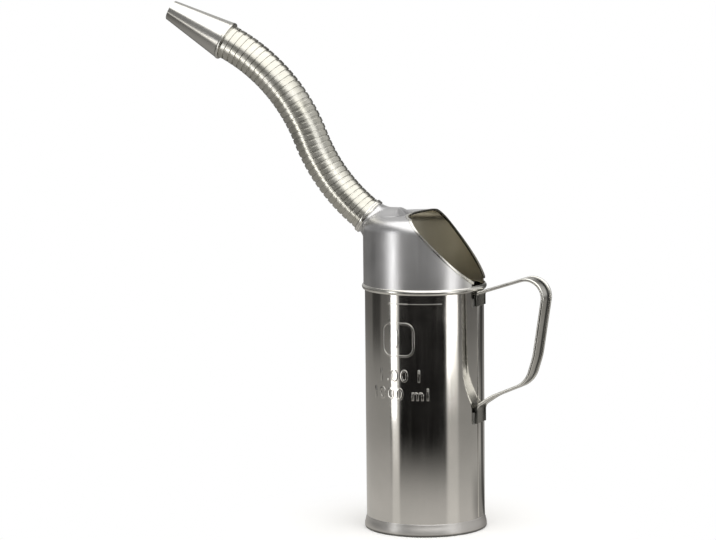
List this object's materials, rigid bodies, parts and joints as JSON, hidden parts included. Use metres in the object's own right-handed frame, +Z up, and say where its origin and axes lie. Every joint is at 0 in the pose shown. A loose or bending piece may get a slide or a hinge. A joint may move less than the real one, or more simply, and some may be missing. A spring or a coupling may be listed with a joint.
{
  "type": "oil measuring jug",
  "caption": "Tinplate oil measuring jug with a sloping open hood, a strap handle, a raised one litre mark and a bending metal hose spout with a tapered nozzle.",
  "frame": {"origin": "centre of the round base, on the surface that the jug stands on", "axes": "+Z up; +X towards the filling opening; the spout leaves towards -X in the plane y = 0; the handle stands 10.5 degrees from +X towards -Y"},
  "size_m": [0.2963, 0.0922, 0.3895],
  "materials": {
    "tinplate": "bright tinplate with a soft mirror shine",
    "hood": "drawn tinplate, satin",
    "hose": "wound galvanised strip, semi-bright",
    "nozzle": "rolled tinplate, semi-bright",
    "edge": "rolled bright edge",
    "solder": "dull soft solder"
  },
  "bodies": {
    "jug": {"body_wall": "tinplate", "base_disc": "tinplate", "base_seam": "tinplate", "joint_bead": "edge", "hood_shell": "hood", "opening_hem": "edge", "spout_neck": "hood", "neck_collar": "edge", "handle_strap": "tinplate", "handle_edge_near": "edge", "handle_edge_far": "edge", "upper_solder": "solder", "lower_solder": "solder", "hose_turn_01": "hose"},
    "hose_turn_02": {"hose_turn_02": "hose"},
    "hose_turn_03": {"hose_turn_03": "hose"},
    "hose_turn_04": {"hose_turn_04": "hose"},
    "hose_turn_05": {"hose_turn_05": "hose"},
    "hose_turn_06": {"hose_turn_06": "hose"},
    "hose_turn_07": {"hose_turn_07": "hose"},
    "hose_turn_08": {"hose_turn_08": "hose"},
    "hose_turn_09": {"hose_turn_09": "hose"},
    "hose_turn_10": {"hose_turn_10": "hose"},
    "hose_turn_11": {"hose_turn_11": "hose"},
    "hose_turn_12": {"hose_turn_12": "hose"},
    "hose_turn_13": {"hose_turn_13": "hose"},
    "hose_turn_14": {"hose_turn_14": "hose"},
    "hose_turn_15": {"hose_turn_15": "hose"},
    "hose_turn_16": {"hose_turn_16": "hose"},
    "hose_turn_17": {"hose_turn_17": "hose"},
    "hose_turn_18": {"hose_turn_18": "hose"},
    "hose_turn_19": {"hose_turn_19": "hose"},
    "hose_turn_20": {"hose_turn_20": "hose"},
    "hose_turn_21": {"hose_turn_21": "hose"},
    "hose_turn_22": {"hose_turn_22": "hose"},
    "hose_turn_23": {"hose_turn_23": "hose"},
    "hose_turn_24": {"hose_turn_24": "hose"},
    "hose_turn_25": {"hose_turn_25": "hose"},
    "hose_turn_26": {"hose_turn_26": "hose"},
    "hose_turn_27": {"hose_turn_27": "hose"},
    "hose_turn_28": {"hose_turn_28": "hose"},
    "hose_turn_29": {"hose_turn_29": "hose"},
    "hose_turn_30": {"hose_turn_30": "hose"},
    "hose_turn_31": {"hose_turn_31": "hose"},
    "hose_turn_32": {"hose_turn_32": "hose"},
    "hose_turn_33": {"hose_turn_33": "hose"},
    "hose_turn_34": {"hose_turn_34": "hose"},
    "hose_turn_35": {"hose_turn_35": "hose"},
    "spout_end": {"hose_turn_36": "hose", "nozzle_cone": "nozzle", "nozzle_rim": "edge"}
  },
  "joints": [
    {"name": "lower_bend", "type": "hinge", "parent": "jug", "child": "hose_turn_02", "pos_m": [-0.04623, 0, 0.23413], "axis": [0, 1, 0], "range_deg": [-6.95, 2.9]},
    {"name": "lower_sway", "type": "hinge", "parent": "hose_turn_02", "child": "hose_turn_03", "pos_m": [-0.04986, 0, 0.23719], "axis": [0.6578, 0, 0.7532], "range_deg": [-4.5, 4.5]},
    {"name": "bend_03", "type": "hinge", "parent": "hose_turn_03", "child": "hose_turn_04", "pos_m": [-0.05338, 0, 0.24037], "axis": [0, 1, 0], "range_deg": [-6.95, 2.9]},
    {"name": "sway_04", "type": "hinge", "parent": "hose_turn_04", "child": "hose_turn_05", "pos_m": [-0.05679, 0, 0.24368], "axis": [0.7092, 0, 0.705], "range_deg": [-4.5, 4.5]},
    {"name": "bend_05", "type": "hinge", "parent": "hose_turn_05", "child": "hose_turn_06", "pos_m": [-0.06007, 0, 0.2471], "axis": [0, 1, 0], "range_deg": [-6.95, 2.9]},
    {"name": "sway_06", "type": "hinge", "parent": "hose_turn_06", "child": "hose_turn_07", "pos_m": [-0.06323, 0, 0.25064], "axis": [0.7571, 0, 0.6533], "range_deg": [-4.5, 4.5]},
    {"name": "bend_07", "type": "hinge", "parent": "hose_turn_07", "child": "hose_turn_08", "pos_m": [-0.06627, 0, 0.25428], "axis": [0, 1, 0], "range_deg": [-6.95, 2.9]},
    {"name": "sway_08", "type": "hinge", "parent": "hose_turn_08", "child": "hose_turn_09", "pos_m": [-0.06918, 0, 0.25803], "axis": [0.8013, 0, 0.5983], "range_deg": [-4.5, 4.5]},
    {"name": "bend_09", "type": "hinge", "parent": "hose_turn_09", "child": "hose_turn_10", "pos_m": [-0.07195, 0, 0.26188], "axis": [0, 1, 0], "range_deg": [-6.95, 2.9]},
    {"name": "sway_10", "type": "hinge", "parent": "hose_turn_10", "child": "hose_turn_11", "pos_m": [-0.07458, 0, 0.26583], "axis": [0.8414, 0, 0.5404], "range_deg": [-4.5, 4.5]},
    {"name": "bend_11", "type": "hinge", "parent": "hose_turn_11", "child": "hose_turn_12", "pos_m": [-0.07707, 0, 0.26987], "axis": [0, 1, 0], "range_deg": [-6.95, 2.9]},
    {"name": "sway_12", "type": "hinge", "parent": "hose_turn_12", "child": "hose_turn_13", "pos_m": [-0.07942, 0, 0.27399], "axis": [0.8774, 0, 0.4798], "range_deg": [-4.5, 4.5]},
    {"name": "bend_13", "type": "hinge", "parent": "hose_turn_13", "child": "hose_turn_14", "pos_m": [-0.08163, 0, 0.27819], "axis": [0, 1, 0], "range_deg": [-6.95, 2.9]},
    {"name": "sway_14", "type": "hinge", "parent": "hose_turn_14", "child": "hose_turn_15", "pos_m": [-0.08368, 0, 0.28247], "axis": [0.909, 0, 0.4168], "range_deg": [-4.5, 4.5]},
    {"name": "bend_15", "type": "hinge", "parent": "hose_turn_15", "child": "hose_turn_16", "pos_m": [-0.08558, 0, 0.28682], "axis": [0, 1, 0], "range_deg": [-6.95, 2.9]},
    {"name": "upper_sway", "type": "hinge", "parent": "hose_turn_16", "child": "hose_turn_17", "pos_m": [-0.08733, 0, 0.29123], "axis": [0.9231, 0, 0.3845], "range_deg": [-4.5, 4.5]},
    {"name": "upper_bend", "type": "hinge", "parent": "hose_turn_17", "child": "hose_turn_18", "pos_m": [-0.08923, 0, 0.29558], "axis": [0, 1, 0], "range_deg": [-2.9, 6.95]},
    {"name": "sway_18", "type": "hinge", "parent": "hose_turn_18", "child": "hose_turn_19", "pos_m": [-0.09128, 0, 0.29986], "axis": [0.8938, 0, 0.4485], "range_deg": [-4.5, 4.5]},
    {"name": "bend_19", "type": "hinge", "parent": "hose_turn_19", "child": "hose_turn_20", "pos_m": [-0.09348, 0, 0.30406], "axis": [0, 1, 0], "range_deg": [-2.9, 6.95]},
    {"name": "sway_20", "type": "hinge", "parent": "hose_turn_20", "child": "hose_turn_21", "pos_m": [-0.09583, 0, 0.30818], "axis": [0.8599, 0, 0.5104], "range_deg": [-4.5, 4.5]},
    {"name": "bend_21", "type": "hinge", "parent": "hose_turn_21", "child": "hose_turn_22", "pos_m": [-0.09833, 0, 0.31222], "axis": [0, 1, 0], "range_deg": [-2.9, 6.95]},
    {"name": "sway_22", "type": "hinge", "parent": "hose_turn_22", "child": "hose_turn_23", "pos_m": [-0.10096, 0, 0.31616], "axis": [0.8218, 0, 0.5697], "range_deg": [-4.5, 4.5]},
    {"name": "bend_23", "type": "hinge", "parent": "hose_turn_23", "child": "hose_turn_24", "pos_m": [-0.10373, 0, 0.32002], "axis": [0, 1, 0], "range_deg": [-2.9, 6.95]},
    {"name": "sway_24", "type": "hinge", "parent": "hose_turn_24", "child": "hose_turn_25", "pos_m": [-0.10664, 0, 0.32377], "axis": [0.7797, 0, 0.6262], "range_deg": [-4.5, 4.5]},
    {"name": "bend_25", "type": "hinge", "parent": "hose_turn_25", "child": "hose_turn_26", "pos_m": [-0.10967, 0, 0.32742], "axis": [0, 1, 0], "range_deg": [-2.9, 6.95]},
    {"name": "sway_26", "type": "hinge", "parent": "hose_turn_26", "child": "hose_turn_27", "pos_m": [-0.11284, 0, 0.33095], "axis": [0.7336, 0, 0.6796], "range_deg": [-4.5, 4.5]},
    {"name": "bend_27", "type": "hinge", "parent": "hose_turn_27", "child": "hose_turn_28", "pos_m": [-0.11612, 0, 0.33437], "axis": [0, 1, 0], "range_deg": [-2.9, 6.95]},
    {"name": "sway_28", "type": "hinge", "parent": "hose_turn_28", "child": "hose_turn_29", "pos_m": [-0.11953, 0, 0.33768], "axis": [0.6839, 0, 0.7296], "range_deg": [-4.5, 4.5]},
    {"name": "bend_29", "type": "hinge", "parent": "hose_turn_29", "child": "hose_turn_30", "pos_m": [-0.12305, 0, 0.34086], "axis": [0, 1, 0], "range_deg": [-2.9, 6.95]},
    {"name": "sway_30", "type": "hinge", "parent": "hose_turn_30", "child": "hose_turn_31", "pos_m": [-0.12667, 0, 0.34392], "axis": [0.6308, 0, 0.7759], "range_deg": [-4.5, 4.5]},
    {"name": "bend_31", "type": "hinge", "parent": "hose_turn_31", "child": "hose_turn_32", "pos_m": [-0.13041, 0, 0.34685], "axis": [0, 1, 0], "range_deg": [-2.9, 6.95]},
    {"name": "sway_32", "type": "hinge", "parent": "hose_turn_32", "child": "hose_turn_33", "pos_m": [-0.13424, 0, 0.34964], "axis": [0.5746, 0, 0.8185], "range_deg": [-4.5, 4.5]},
    {"name": "bend_33", "type": "hinge", "parent": "hose_turn_33", "child": "hose_turn_34", "pos_m": [-0.13817, 0, 0.3523], "axis": [0, 1, 0], "range_deg": [-2.9, 6.95]},
    {"name": "sway_34", "type": "hinge", "parent": "hose_turn_34", "child": "hose_turn_35", "pos_m": [-0.1422, 0, 0.35482], "axis": [0.5155, 0, 0.8569], "range_deg": [-4.5, 4.5]},
    {"name": "bend_35", "type": "hinge", "parent": "hose_turn_35", "child": "spout_end", "pos_m": [-0.1463, 0, 0.35719], "axis": [0, 1, 0], "range_deg": [-2.9, 6.95]}
  ],
  "couplings": [
    {"joint": "bend_03", "follows": "lower_bend", "ratio": 1},
    {"joint": "sway_04", "follows": "lower_sway", "ratio": 1},
    {"joint": "bend_05", "follows": "lower_bend", "ratio": 1},
    {"joint": "sway_06", "follows": "lower_sway", "ratio": 1},
    {"joint": "bend_07", "follows": "lower_bend", "ratio": 1},
    {"joint": "sway_08", "follows": "lower_sway", "ratio": 1},
    {"joint": "bend_09", "follows": "lower_bend", "ratio": 1},
    {"joint": "sway_10", "follows": "lower_sway", "ratio": 1},
    {"joint": "bend_11", "follows": "lower_bend", "ratio": 1},
    {"joint": "sway_12", "follows": "lower_sway", "ratio": 1},
    {"joint": "bend_13", "follows": "lower_bend", "ratio": 1},
    {"joint": "sway_14", "follows": "lower_sway", "ratio": 1},
    {"joint": "bend_15", "follows": "lower_bend", "ratio": 1},
    {"joint": "sway_18", "follows": "upper_sway", "ratio": 1},
    {"joint": "bend_19", "follows": "upper_bend", "ratio": 1},
    {"joint": "sway_20", "follows": "upper_sway", "ratio": 1},
    {"joint": "bend_21", "follows": "upper_bend", "ratio": 1},
    {"joint": "sway_22", "follows": "upper_sway", "ratio": 1},
    {"joint": "bend_23", "follows": "upper_bend", "ratio": 1},
    {"joint": "sway_24", "follows": "upper_sway", "ratio": 1},
    {"joint": "bend_25", "follows": "upper_bend", "ratio": 1},
    {"joint": "sway_26", "follows": "upper_sway", "ratio": 1},
    {"joint": "bend_27", "follows": "upper_bend", "ratio": 1},
    {"joint": "sway_28", "follows": "upper_sway", "ratio": 1},
    {"joint": "bend_29", "follows": "upper_bend", "ratio": 1},
    {"joint": "sway_30", "follows": "upper_sway", "ratio": 1},
    {"joint": "bend_31", "follows": "upper_bend", "ratio": 1},
    {"joint": "sway_32", "follows": "upper_sway", "ratio": 1},
    {"joint": "bend_33", "follows": "upper_bend", "ratio": 1},
    {"joint": "sway_34", "follows": "upper_sway", "ratio": 1},
    {"joint": "bend_35", "follows": "upper_bend", "ratio": 1}
  ]
}
